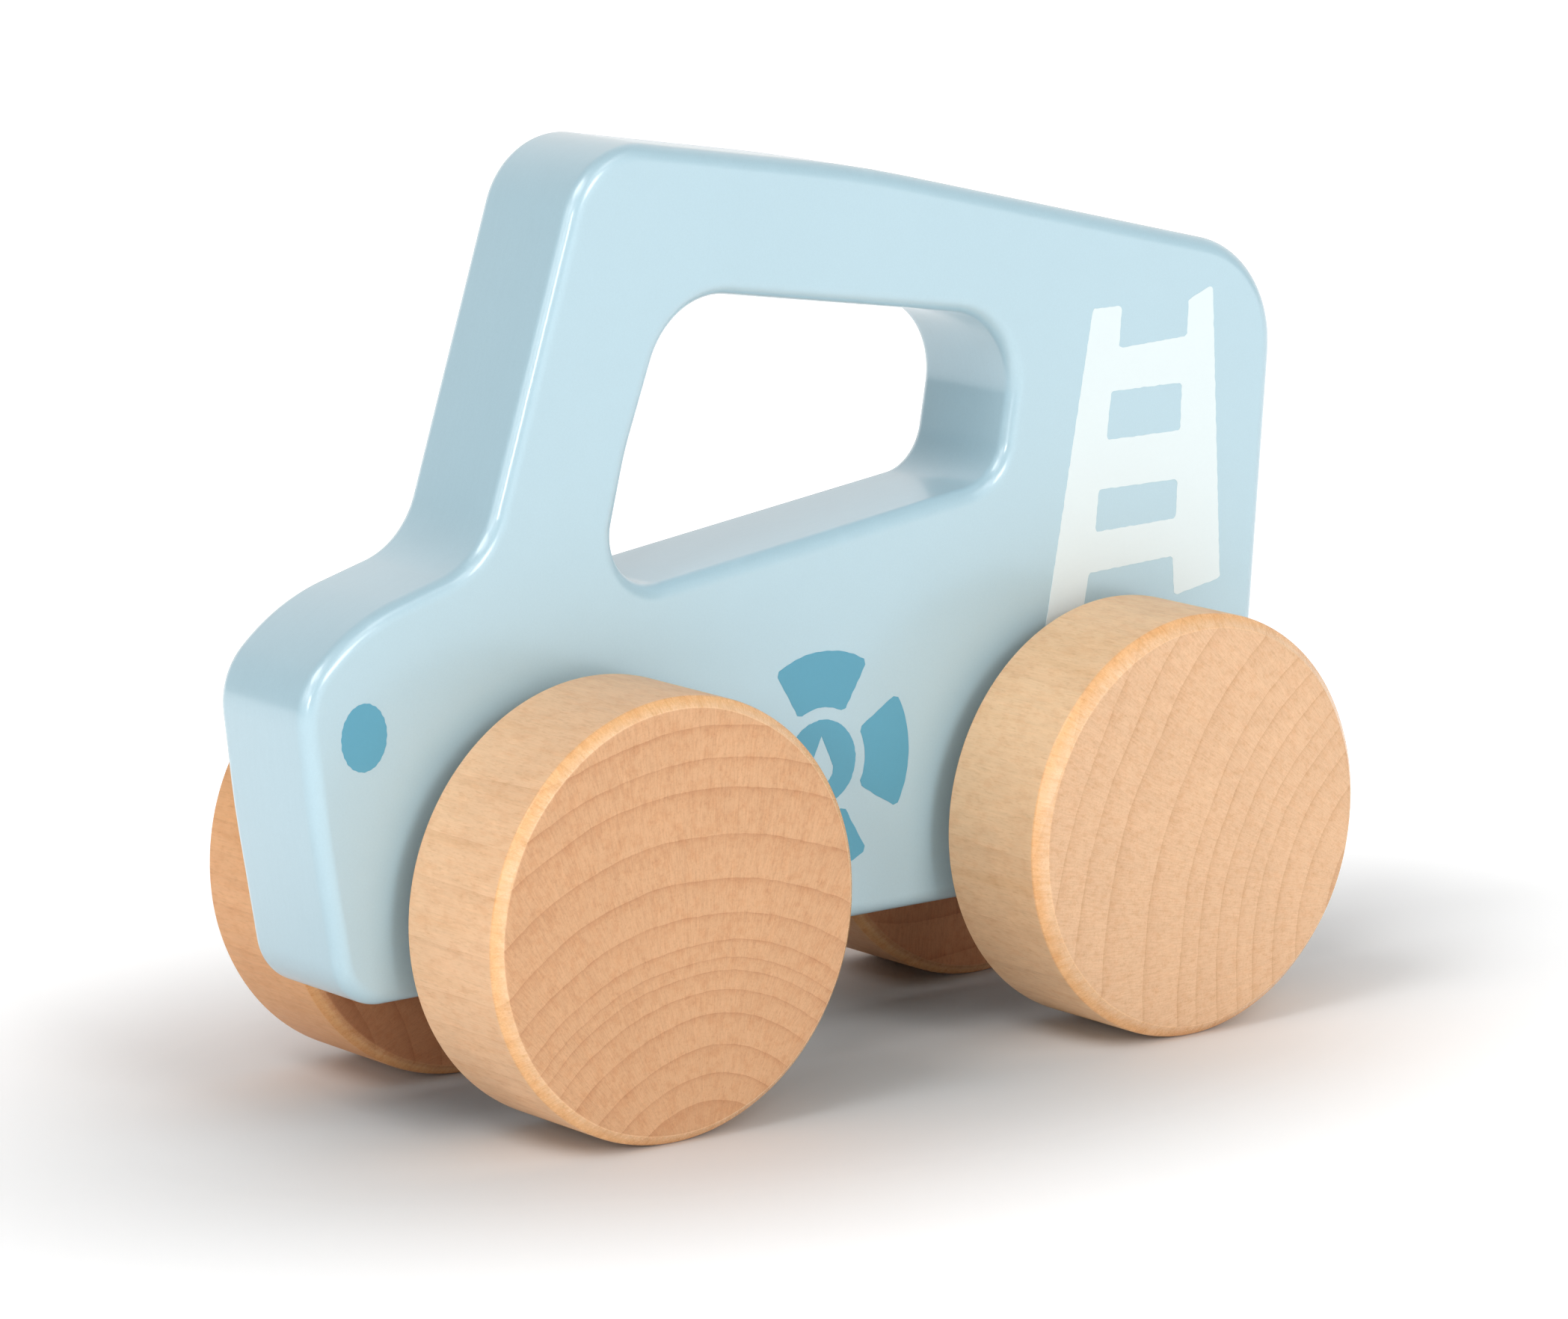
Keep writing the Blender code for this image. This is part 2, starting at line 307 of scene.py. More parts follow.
# Soft lights: azimuth from +Y towards +X, elevation and angular width in degrees, and strength
SOFT_LIGHTS = {
    "tail_low": (-25, 6, 24, 0.18),
    "tail_middle": (-25, 25, 18, 0.07),
    "tail_high": (-25, 50, 24, 0.15),
    "side_low": (0, 6, 34, 0.27),
    "side_middle": (0, 25, 20, 0.79),
    "side_high": (0, 50, 24, 0.24),
    "corner_low": (51, 14, 11, 0.46),
    "corner_high": (50, 45, 18, 0.22),
    "front_side": (72, 25, 18, 0.24),
    "front_low": (95, 6, 34, 0.06),
    "front_middle": (95, 25, 18, 0.18),
    "front_high": (80, 50, 24, 0.86),
}
# Glow of the surroundings behind the object: the way to its middle, the dot products with that way where
# the glow starts and is full, and its strength
GLOW_WAY = (-0.62, -0.78, 0.0)
GLOW_STARTS = 0.1
GLOW_FULL = 0.8
GLOW_STRENGTH = 0.95

ENDS = ("front", "rear")
SIDES = {"left": 1, "right": -1}


# Outlines


def rounded_corner(before, corner, after, radius, step):
    """Points along the arc that rounds one corner of an outline."""
    to_before = (before - corner).normalized()
    to_after = (after - corner).normalized()
    half_angle = to_before.angle(to_after) / 2
    bisector = (to_before + to_after).normalized()
    centre = corner + bisector * radius / math.sin(half_angle)
    start = corner + to_before * radius / math.tan(half_angle) - centre
    sweep = start.angle_signed(corner + to_after * radius / math.tan(half_angle) - centre)
    steps = max(2, math.ceil(abs(sweep) / step))
    # mathutils measures a 2D signed angle clockwise
    return [centre + Matrix.Rotation(-sweep * i / steps, 2) @ start for i in range(steps + 1)]


def rounded_outline(corners, step=ARC_STEP):
    """Closed outline in metres from (x, z, radius) corners in millimetres."""
    places = [Vector((x, z)) * MM for x, z, _ in corners]
    outline = []
    for i, (_, _, radius) in enumerate(corners):
        after = places[(i + 1) % len(places)]
        outline += rounded_corner(places[i - 1], places[i], after, radius * MM, step)
    return outline


def with_radius(corners, radius):
    return [(x, z, radius) for x, z in corners]


def polar(centre, radius, angle):
    return centre + radius * Vector((math.cos(angle), math.sin(angle)))


def circle(centre, radius, sides):
    return [polar(centre, radius, math.tau * i / sides) for i in range(sides)]


def signed_area(outline):
    return sum(a.cross(b) for a, b in zip(outline, outline[1:] + outline[:1])) / 2


def inward_normals(outline):
    """Unit normals of a closed outline, pointing into what it encloses."""
    turn = 1 if signed_area(outline) > 0 else -1
    normals = []
    for i, point in enumerate(outline):
        before = (point - outline[i - 1]).normalized()
        after = (outline[(i + 1) % len(outline)] - point).normalized()
        along = (before + after).normalized()
        normals.append(Vector((-along.y, along.x)) * turn)
    return normals


def resampled(outline, step):
    """The outline with points no further apart than step."""
    finer = []
    for a, b in zip(outline, outline[1:] + outline[:1]):
        count = max(1, math.ceil((b - a).length / step))
        finer += [a.lerp(b, i / count) for i in range(count)]
    return finer


def wavering(outline, amount, rng):
    """The outline moved in and out by a small smooth random amount, as ink creeps at its edge."""
    count = len(outline)
    most = max(3, count // INK_SHORTEST_WAVE)
    waves = [(rng.randint(2, most), rng.uniform(0, math.tau)) for _ in range(INK_EDGE_WAVES)]
    moved = []
    for i, (point, normal) in enumerate(zip(outline, inward_normals(outline))):
        wave = sum(math.sin(math.tau * i * turns / count + phase) for turns, phase in waves)
        moved.append(point + normal * amount * wave / math.sqrt(len(waves)))
    return moved


# Meshes


def add_piece(name, shape, material, location=(0, 0, 0)):
    mesh = bpy.data.meshes.new(name)
    shape.to_mesh(mesh)
    shape.free()
    mesh.materials.append(material)
    piece = bpy.data.objects.new(name, mesh)
    piece.location = location
    bpy.context.scene.collection.objects.link(piece)
    return piece


def add_loop(shape, outline, y):
    return [shape.verts.new((x, y, z)) for x, z in outline]


def bridge(shape, first, second, smooth=True):
    """Strip of quads between two closed rows of vertices of the same length."""
    for i in range(len(first)):
        j = (i + 1) % len(first)
        face = shape.faces.new((first[i], first[j], second[j], second[i]))
        face.smooth = smooth


def edges_round(rows):
    edges = []
    for row in rows:
        for i, vertex in enumerate(row):
            near = row[(i + 1) % len(row)]
            edges += [edge for edge in vertex.link_edges if edge.other_vert(vertex) == near]
    return edges


def cap(shape, rows):
    """Flat faces over the first closed row of vertices, around the others."""
    made = bmesh.ops.triangle_fill(shape, edges=edges_round(rows), use_beauty=True, use_dissolve=False)
    for face in made["geom"]:
        if isinstance(face, bmesh.types.BMFace):
            face.smooth = False


def board_profile(half_thickness):
    """(inset, y) points from one face of the board round its edge to the other face."""
    corner = []
    for i in range(EDGE_STEPS + 1):
        angle = math.pi / 2 * i / EDGE_STEPS
        inset = EDGE_RADIUS * (1 - math.cos(angle))
        corner.append((inset, half_thickness - EDGE_RADIUS * (1 - math.sin(angle))))
    return [(inset, -y) for inset, y in reversed(corner)] + corner


def clamped(value, low, high):
    return min(max(value, low), high)


def board_mesh(half_thickness, axle_places):
    """Board with rounded edges round its outline and its window, and a hole for each axle."""
    low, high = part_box("body")
    outline = [
        Vector((clamped(x, low.x, high.x), clamped(z, low.z, high.z)))
        for x, z in rounded_outline(BODY_OUTLINE)
    ]
    window = rounded_outline(WINDOW_OUTLINE)
    shape = bmesh.new()
    ends = {-1: [], 1: []}
    for loop, direction in ((outline, 1), (window, -1)):
        normals = inward_normals(loop)
        rows = []
        for inset, y in board_profile(half_thickness):
            moved = [p + n * inset * direction for p, n in zip(loop, normals)]
            rows.append(add_loop(shape, moved, y))
        for first, second in zip(rows, rows[1:]):
            bridge(shape, first, second)
        ends[-1].append(rows[0])
        ends[1].append(rows[-1])
    for place in axle_places:
        hole = circle(place, BORE_RADIUS, BORE_SIDES)
        rows = [add_loop(shape, hole, side * half_thickness) for side in (-1, 1)]
        bridge(shape, *rows)
        ends[-1].append(rows[0])
        ends[1].append(rows[1])
    for rows in ends.values():
        cap(shape, rows)
    bmesh.ops.recalc_face_normals(shape, faces=shape.faces)
    return shape


def ink_mesh(outlines, side, surface_y, rng):
    """Thin film of ink on one face of the board, with a slightly uneven edge."""
    shape = bmesh.new()
    rows = {"under": [], "top": []}
    for outline in outlines:
        edge = wavering(resampled(outline, INK_EDGE_STEP), INK_EDGE_WAVER, rng)
        under = add_loop(shape, edge, side * (surface_y - INK_SINK))
        top = add_loop(shape, edge, side * (surface_y + INK_THICKNESS))
        bridge(shape, under, top, smooth=False)
        rows["under"].append(under)
        rows["top"].append(top)
    for row in rows.values():
        cap(shape, row)
    bmesh.ops.recalc_face_normals(shape, faces=shape.faces)
    return shape


def wheel_profile(radius, width, chamfer):
    """(radius, distance from the inner face) points, from the outer face to the end of the dowel's hole."""
    corners = [
        (radius - chamfer - FLAT_MARGIN, width),
        (radius - chamfer, width),
        (radius, width - chamfer),
        (radius, INNER_CHAMFER),
        (radius - INNER_CHAMFER, 0),
        (radius - INNER_CHAMFER - FLAT_MARGIN, 0),
    ]
    places = [Vector(corner) for corner in corners]
    profile = [places[0]]
    for before, corner, after in zip(places, places[1:], places[2:]):
        profile += rounded_corner(before, corner, after, CHAMFER_SOFTNESS, CHAMFER_ARC_STEP)
    hole = [(HOLE_RADIUS + HOLE_MARGIN, 0), (HOLE_RADIUS, 0), (HOLE_RADIUS, HOLE_DEPTH)]
    return profile + [places[-1]] + [Vector(corner) for corner in hole]


def wheel_mesh(radius, width, chamfer, side, rng):
    """Wheel turned about Y. Its softened chamfer wavers a little in width, as a hand-sanded one does."""
    waves = [(turns, share, rng.uniform(0, math.tau)) for turns, share in CHAMFER_WAVES]
    shape = bmesh.new()
    columns = []
    for i in range(WHEEL_SIDES):
        angle = math.tau * i / WHEEL_SIDES
        waver = sum(share * math.sin(turns * angle + phase) for turns, share, phase in waves)
        column = []
        for r, along in wheel_profile(radius, width, chamfer + CHAMFER_WAVER * waver):
            y = side * (along - width / 2)
            column.append(shape.verts.new((r * math.cos(angle), y, r * math.sin(angle))))
        columns.append(column)
    rows = list(zip(*columns))
    for first, second in zip(rows, rows[1:]):
        bridge(shape, first, second)
    for end in (rows[0], rows[-1]):
        shape.faces.new(end).smooth = False
    bmesh.ops.recalc_face_normals(shape, faces=shape.faces)
    return shape


# Materials


class Shader:
    """Principled material put together from small helpers. A socket is linked and a number is set."""

    def __init__(self, name):
        self.material = bpy.data.materials.new(name)
        self.material.use_nodes = True
        self.tree = self.material.node_tree
        self.surface = self.tree.nodes["Principled BSDF"]
        self.place = self.node("ShaderNodeTexCoord", {})

    def put(self, socket, value):
        if isinstance(value, bpy.types.NodeSocket):
            self.tree.links.new(value, socket)
        else:
            socket.default_value = value

    def node(self, kind, inputs, **settings):
        made = self.tree.nodes.new(kind)
        for key, value in settings.items():
            setattr(made, key, value)
        for key, value in inputs.items():
            self.put(made.inputs[key], value)
        return made

    def maths(self, operation, *values):
        return self.node("ShaderNodeMath", dict(enumerate(values)), operation=operation).outputs[0]

    def vector(self, operation, *values):
        made = self.node("ShaderNodeVectorMath", dict(enumerate(values)), operation=operation)
        return made.outputs[0]

    def combine(self, x, y, z):
        return self.node("ShaderNodeCombineXYZ", {"X": x, "Y": y, "Z": z}).outputs[0]

    def separate(self, vector):
        return self.node("ShaderNodeSeparateXYZ", {"Vector": vector}).outputs

    def millimetres(self, offset=(0, 0, 0)):
        """The point in the object, in millimetres, moved by offset. Another offset gives another pattern."""
        scaled = self.vector("MULTIPLY", self.place.outputs["Object"], (1 / MM,) * 3)
        return self.vector("ADD", scaled, offset)

    def noise(self, point, size, detail=2.0, roughness=0.5, output="Fac"):
        """Noise from 0 to 1 whose features are of this size in millimetres along X, Y and Z."""
        inputs = {
            "Vector": self.vector("DIVIDE", point, size),
            "Scale": 1.0,
            "Detail": detail,
            "Roughness": roughness,
        }
        return self.node("ShaderNodeTexNoise", inputs).outputs[output]

    def ease(self, value, low, high, to_low=0.0, to_high=1.0):
        """value brought smoothly from between low and high to between to_low and to_high."""
        inputs = {"Value": value, "From Min": low, "From Max": high, "To Min": to_low, "To Max": to_high}
        return self.node("ShaderNodeMapRange", inputs, interpolation_type="SMOOTHSTEP").outputs[0]

    def around(self, value, centre, amount):
        """Noise from 0 to 1 turned into centre plus or minus about half of amount."""
        return self.maths("MULTIPLY_ADD", value, amount, centre - amount / 2)

    def mix(self, share, first, second):
        made = self.tree.nodes.new("ShaderNodeMix")
        made.data_type = "RGBA"
        # A colour mix has its share and its two colours in these sockets, and its result in output 2
        for index, value in ((0, share), (6, first), (7, second)):
            self.put(made.inputs[index], value)
        return made.outputs[2]

    def mix_value(self, share, first, second):
        """first where share is 0 and second where it is 1."""
        return self.maths("MULTIPLY_ADD", share, second - first, first)

    def times(self, *values):
        product = values[0]
        for value in values[1:]:
            product = self.maths("MULTIPLY", product, value)
        return product

    def total(self, *values):
        sum_so_far = values[0]
        for value in values[1:]:
            sum_so_far = self.maths("ADD", sum_so_far, value)
        return sum_so_far

    def weighted(self, values, weights):
        """Sum of the named values, each times its weight."""
        return self.total(*(self.times(values[name], weight) for name, weight in weights.items()))

    def length(self, across, up):
        return self.maths("SQRT", self.total(self.times(across, across), self.times(up, up)))

    def tinted(self, colour, share, tint):
        """colour multiplied by tint, by as much as share says."""
        return self.vector("MULTIPLY", colour, self.mix(share, (1, 1, 1, 1), (*tint, 1)))

    def scaled(self, colour, *factors):
        for factor in factors:
            colour = self.vector("MULTIPLY", colour, self.combine(factor, factor, factor))
        return colour

    def mottled(self, colour, noises, contrasts):
        """colour made lighter and darker by each named noise, by its contrast."""
        factors = [self.around(noises[name], 1.0, contrast) for name, contrast in contrasts.items()]
        return self.scaled(colour, *factors)

    def bump(self, height_mm):
        inputs = {"Height": height_mm, "Distance": MM, "Strength": 1.0}
        return self.node("ShaderNodeBump", inputs).outputs[0]

    def sideways(self):
        """How far the surface faces along the object's own Y, from 0 to 1."""
        return self.maths("ABSOLUTE", self.separate(self.place.outputs["Normal"])[1])

    def finish(self, colour, roughness, height_mm, **plain):
        self.put(self.surface.inputs["Base Color"], colour)
        self.put(self.surface.inputs["Roughness"], roughness)
        self.put(self.surface.inputs["Normal"], self.bump(height_mm))
        for socket, value in plain.items():
            self.surface.inputs[socket.replace("_", " ")].default_value = value
        return self.material


def ring_phase(shader, distance_mm, ring_radii):
    """Which growth ring a distance from the pith falls in, as a number that rises by 1 for each ring."""
    curve = shader.node("ShaderNodeFloatCurve", {"Value": shader.maths("DIVIDE", distance_mm, RING_REACH_MM)})
    count = len(ring_radii) + 1
    points = curve.mapping.curves[0].points
    for i, radius in enumerate(ring_radii):
        points.new(radius / RING_REACH_MM, (i + 1) / count)
    for point in points:
        point.handle_type = "VECTOR"
    curve.mapping.update()
    return shader.maths("MULTIPLY", curve.outputs[0], count)


def smooth_moves(shader, point, noise, reach_mm):
    """Smooth random moves in X and Z, of up to about half of reach_mm either way."""
    moves = shader.noise(point, *noise, output="Color")
    return shader.vector("MULTIPLY", shader.vector("SUBTRACT", moves, (0.5,) * 3), (reach_mm, 0, reach_mm))


def place_round_pith(shader, look, plain, point):
    """Distance from the pith, a line along Y that usually lies outside the piece, and angle round it."""
    sway = smooth_moves(shader, point, WOOD_NOISE["sway"], SWAY_MM)
    tremble = smooth_moves(shader, point, WOOD_NOISE["tremble"], TREMBLE_MM)
    x, _, z = shader.separate(shader.vector("ADD", shader.vector("ADD", plain, sway), tremble))
    from_x = shader.maths("SUBTRACT", x, look["pith"][0])
    from_z = shader.maths("SUBTRACT", z, look["pith"][1])
    return shader.length(from_x, from_z), shader.maths("ARCTAN2", from_z, from_x)


def growth_rings(shader, look, point, distance):
    """Late wood that darkens towards the end of each ring, and the thin broken line that ends the ring."""
    within = shader.maths("FRACT", ring_phase(shader, distance, look["rings"]))
    boundary = shader.maths("POWER", within, BOUNDARY_POWER)
    breaks = shader.noise(point, *WOOD_NOISE["breaks"])
    boundary = shader.times(boundary, shader.ease(breaks, *BOUNDARY_BREAKS))
    return shader.maths("POWER", within, LATE_WOOD_POWER), boundary


def wood_grain(shader, look, plain, point, seed_number):
    """Everything that the wood's grain is made of, each from 0 to 1, by name."""
    distance, angle = place_round_pith(shader, look, plain, point)
    late_wood, boundary = growth_rings(shader, look, point, distance)
    grain = {"late_wood": late_wood, "boundary": boundary}
    # Rays: thin plates that run out from the pith, seen as short fine streaks
    ray_place = shader.combine(shader.times(angle, look["ray_scale"]), shader.separate(point)[1], distance)
    for name in ("fine_rays", "broad_rays"):
        grain[name] = shader.noise(ray_place, *WOOD_NOISE[name])
    # Fibres, pores and blotches: thin across, longer along Y
    for name in ("fibres", "figure", "blotches", "fleck", "pores"):
        grain[name] = shader.noise(point, *WOOD_NOISE[name])
    # Sanding strokes: these run across the chamfer
    x, y, z = shader.separate(plain)
    around_rim = shader.times(shader.maths("ARCTAN2", z, x), RIM_MM)
    stroke_place = shader.combine(around_rim, y, seed_number)
    grain["strokes"] = shader.noise(stroke_place, *WOOD_NOISE["strokes"])
    return grain


def wood_places(shader, plain, inward):
    """How far a point is on each part of the piece, from 0 to 1, by name."""
    x, y, z = shader.separate(plain)
    sideways = shader.sideways()
    end = shader.ease(sideways, *END_FACING)
    rim = shader.maths("SUBTRACT", 1.0, end)
    chamfer = shader.times(shader.ease(sideways, *CHAMFER_FACING), rim)
    return {
        "end": end,
        "rim": rim,
        "chamfer": chamfer,
        "chamfer_edge": shader.times(shader.ease(shader.length(x, z), *CHAMFER_EDGE_MM), chamfer),
        # Painted shade on the wheel's inner face, which looks at the board
        "inner_face": shader.ease(shader.times(y, inward), *INNER_FACE_SHADE_RANGE_MM),
    }


def wood_colour(shader, look, grain, places):
    """The plain colour of each part of the piece, with its rings, rays, fibres and sanding strokes."""

    def marked(colour, name, *shares):
        shown = shader.ease(grain[name], *WOOD_MARKS[name])
        return shader.tinted(colour, shader.times(shown, *shares), WOOD_TINTS[name])

    rings = shader.ease(places["end"], 0.0, 1.0, RIM_RING_STRENGTH, 1.0)
    rings = shader.times(rings, look["ring_strength"])
    rays = shader.ease(places["end"], 0.0, 1.0, RIM_RAY_STRENGTH, 1.0)
    colour = shader.mix(places["end"], (*look["rim"], 1), (*look["end"], 1))
    colour = shader.mix(places["chamfer"], colour, (*look["chamfer"], 1))
    for name in ("late_wood", "boundary"):
        colour = shader.tinted(colour, shader.times(grain[name], rings), WOOD_TINTS[name])
    colour = marked(colour, "fine_rays", rays)
    colour = shader.mottled(colour, grain, WOOD_CONTRAST)
    colour = marked(colour, "figure", places["rim"])
    colour = marked(colour, "fleck")
    colour = marked(colour, "pores")
    colour = marked(colour, "strokes", places["chamfer"])
    # The inner face's tint is painted shade
    for name in ("chamfer_edge", "inner_face"):
        colour = shader.tinted(colour, places[name], WOOD_TINTS[name])
    return colour


def wood_material(name, look, seed, inward=0):
    """Fine pale hardwood with its fibres along Y: growth rings and rays on the ends, streaks along the sides.

    A wheel's inner face, on its `inward` side, is painted darker and browner, as shade where it faces
    the board.
    """
    shader = Shader(name)
    rng = random.Random(seed)
    offset = tuple(rng.uniform(-WOOD_SPREAD_MM, WOOD_SPREAD_MM) for _ in range(3))
    plain = shader.millimetres()
    grain = wood_grain(shader, look, plain, shader.millimetres(offset), offset[0])
    places = wood_places(shader, plain, inward)
    colour = wood_colour(shader, look, grain, places)
    roughness = shader.total(
        shader.mix_value(places["end"], WOOD_RIM_ROUGHNESS, WOOD_END_ROUGHNESS),
        shader.times(places["chamfer"], WOOD_CHAMFER_ROUGHNESS_DROP),
        shader.around(grain["fibres"], 0.0, WOOD_FIBRE_ROUGHNESS),
    )
    grain["chamfer_strokes"] = shader.times(grain["strokes"], places["chamfer"])
    height = shader.weighted(grain, WOOD_RELIEF_MM)
    return shader.finish(colour, roughness, height, IOR=WOOD_IOR)


def paint_noises(shader, point, *names):
    return {name: shader.noise(point, *PAINT_NOISE[name]) for name in names}


def paint_material(name, base):
    """Satin paint sprayed on a sanded board: slight orange peel, and faint sanding streaks on the edges."""
    shader = Shader(name)
    point = shader.millimetres(PAINT_OFFSET_MM)
    noises = paint_noises(shader, point, "peel", "mist", "clouds", "drift")
    bend = shader.noise(point, *PAINT_NOISE["bend"], output="Color")
    bent = shader.vector("ADD", point, shader.vector("MULTIPLY", bend, PAINT_BEND_MM))
    sanding = shader.noise(bent, *PAINT_NOISE["sanding"])
    sideways = shader.sideways()
    on_edge = shader.ease(sideways, *PAINT_EDGE_FACING, 1.0, 0.0)
    off_flat = shader.ease(sideways, *PAINT_FLAT_FACING, 1.0, 0.0)
    on_round = shader.times(shader.ease(sideways, *PAINT_ROUND_FACING), off_flat)
    # Lighter patches on the rounded edges: thinner paint, and partly a painted highlight
    thin_paint_and_sheen = shader.times(on_round, shader.ease(noises["drift"], *PAINT_THIN_AND_SHEEN))
    streaks = shader.times(shader.ease(sanding, *PAINT_STREAKS), on_edge)
    colour = shader.mottled(base, noises, PAINT_CONTRAST)
    colour = shader.tinted(colour, thin_paint_and_sheen, PAINT_THIN_AND_SHEEN_TINT)
    colour = shader.tinted(colour, streaks, PAINT_STREAK_TINT)
    roughness = shader.total(
        shader.around(noises["mist"], PAINT_ROUGHNESS, PAINT_MIST_ROUGHNESS),
        shader.around(noises["drift"], 0.0, PAINT_DRIFT_ROUGHNESS),
        shader.times(streaks, PAINT_STREAK_ROUGHNESS),
    )
    noises["edge_sanding"] = shader.times(sanding, on_edge)
    height = shader.weighted(noises, PAINT_RELIEF_MM)
    return shader.finish(colour, roughness, height, **PAINT_COAT)


def ink_material(name, base, mottle):
    """Screen-printed ink over the paint: same relief, a little mottled."""
    shader = Shader(name)
    point = shader.millimetres(PAINT_OFFSET_MM)
    film = paint_noises(shader, point, "peel", "mist")
    noises = {key: shader.noise(point, *noise) for key, noise in INK_NOISE.items()}
    colour = shader.mottled(base, noises, {"cover": mottle, "clouds": mottle * INK_CLOUD_SHARE})
    roughness = shader.around(noises["cover"], INK_ROUGHNESS, INK_COVER_ROUGHNESS)
    return shader.finish(colour, roughness, shader.weighted(film, INK_RELIEF_MM))


def floor_material():
    """White studio floor, less bright under the object as painted shade, and glowing a little further out."""
    shader = Shader("studio_floor")
    point = shader.millimetres()
    grain = shader.noise(point, *FLOOR_NOISE)
    shares = (1 / FLOOR_ELLIPSE_MM[0], 1 / FLOOR_ELLIPSE_MM[1], 0)
    x, y, _ = shader.separate(shader.vector("MULTIPLY", point, shares))
    distance = shader.length(x, y)
    # Painted shade: the floor is less white under the object
    whiteness_with_painted_shade = shader.ease(distance, *FLOOR_WHITENESS_WITH_PAINTED_SHADE)
    colour = shader.scaled((1, 1, 1), whiteness_with_painted_shade, shader.around(grain, 1.0, FLOOR_CONTRAST))
    glow = shader.ease(distance, *FLOOR_GLOW)
    shader.put(shader.surface.inputs["Emission Color"], shader.combine(glow, glow, glow))
    roughness = shader.around(grain, FLOOR_ROUGHNESS, FLOOR_GRAIN_ROUGHNESS)
    height = shader.times(grain, FLOOR_RELIEF_MM)
    return shader.finish(colour, roughness, height, Emission_Strength=1.0)


# Pieces


def ride_as(piece, body, slot, *nodes):
    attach(piece, body)
    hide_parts(*nodes)


def make_board(material):
    low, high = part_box("body")
    places = []
    for end in ENDS:
        axle_low, axle_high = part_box(end + "_axle")
        middle = (axle_low + axle_high) / 2
        places.append(Vector((middle.x, middle.z)))
    board = add_piece("painted_board", board_mesh((high.y - low.y) / 2, places), material)
    ride_as(board, "body", "blue_paint", "body")


def make_wheels():
    for end in ENDS:
        for side, sign in SIDES.items():
            node = f"{end}_{side}_wheel"
            low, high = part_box(node)
            rng = random.Random(node)
            look = WHEEL_LOOKS[node]
            shape = wheel_mesh((high.z - low.z) / 2, high.y - low.y, look["chamfer_mm"] * MM, sign, rng)
            material = wood_material(node + "_wood", look, node, -sign)
            wheel = add_piece("turned_" + node, shape, material, (low + high) / 2)
            ride_as(wheel, end + "_wheelset", "wood", node)


def finish_axles():
    for end in ENDS:
        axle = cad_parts[end + "_axle"]
        axle.data.materials.clear()
        axle.data.materials.append(wood_material(end + "_dowel_wood", DOWEL_LOOK, end))


def node_ellipse(node):
    """Smooth ellipse that fills a CAD node's box, in X and Z."""
    low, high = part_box(node)
    centre = (low + high) / 2
    half_x = (high.x - low.x) / 2
    half_z = (high.z - low.z) / 2
    turns = [math.tau * i / SMOOTH_SIDES for i in range(SMOOTH_SIDES)]
    return [Vector((centre.x + half_x * math.cos(t), centre.z + half_z * math.sin(t))) for t in turns]


def drop_outline(centre):
    """Water drop: a circle low in the disc, drawn up to a point above it."""
    bulb = centre - Vector((0, DROP_BELOW_CENTRE))
    tip = centre + Vector((0, DROP_TIP))
    touch = math.asin(DROP_RADIUS / (tip - bulb).length)
    sweep = math.pi + 2 * touch
    turns = [touch - sweep * i / SMOOTH_SIDES for i in range(SMOOTH_SIDES + 1)]
    return [tip] + [polar(bulb, DROP_RADIUS, turn) for turn in turns]


def ring_segment(centre, middle, outer):
    """One segment of the badge's ring: two arcs joined by four small rounded corners."""
    outline = []
    half = BADGE_SEGMENT_SWEEP / 2
    rows = ((outer, outer - BADGE_CORNER, 1), (BADGE_RING_INNER, BADGE_RING_INNER + BADGE_CORNER, -1))
    for radius, near_corner, direction in rows:
        sweep = 2 * (half - BADGE_CORNER / radius)
        outline.append(polar(centre, near_corner, middle - direction * half))
        for i in range(SMOOTH_SIDES // 4 + 1):
            share = 4 * i / SMOOTH_SIDES - 0.5
            outline.append(polar(centre, radius, middle + direction * sweep * share))
        outline.append(polar(centre, near_corner, middle + direction * half))
    return outline


def print_outlines(side):
    """Outlines of every print on one side, by the name of its CAD node."""
    low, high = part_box(side + "_badge_disc")
    centre = (low + high) / 2
    centre = Vector((centre.x, centre.z))
    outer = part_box(side + "_badge_segment_1")[1].x - centre.x
    outlines = {
        side + "_ladder_print": [
            rounded_outline(with_radius(corners, LADDER_CORNER_MM), LADDER_ARC_STEP)
            for corners in (LADDER_OUTLINE, LADDER_UPPER_OPENING, LADDER_LOWER_OPENING)
        ],
        side + "_headlight_print": [node_ellipse(side + "_headlight_print")],
        side + "_badge_disc": [node_ellipse(side + "_badge_disc"), drop_outline(centre)],
    }
    for i in range(BADGE_SEGMENTS):
        middle = math.tau * i / BADGE_SEGMENTS
        outlines[f"{side}_badge_segment_{i + 1}"] = [ring_segment(centre, middle, outer)]
    return outlines


def make_prints():
    surface_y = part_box("body")[1].y
    white = ink_material("white_ink", WHITE_INK, WHITE_MOTTLE)
    teal = ink_material("teal_ink", TEAL_INK, TEAL_MOTTLE)
    for side, sign in SIDES.items():
        for node, outlines in print_outlines(side).items():
            is_ladder = "ladder" in node
            shape = ink_mesh(outlines, sign, surface_y, random.Random(node))
            film = add_piece(node + "_ink", shape, white if is_ladder else teal)
            ride_as(film, "body", "white_print" if is_ladder else "teal_print", node)


# Studio


def add_floor():
    shape = bmesh.new()
    segments = {"x_segments": FLOOR_SEGMENTS, "y_segments": FLOOR_SEGMENTS}
    bmesh.ops.create_grid(shape, **segments, size=FLOOR_SIZE)
    add_piece("studio_floor", shape, floor_material())


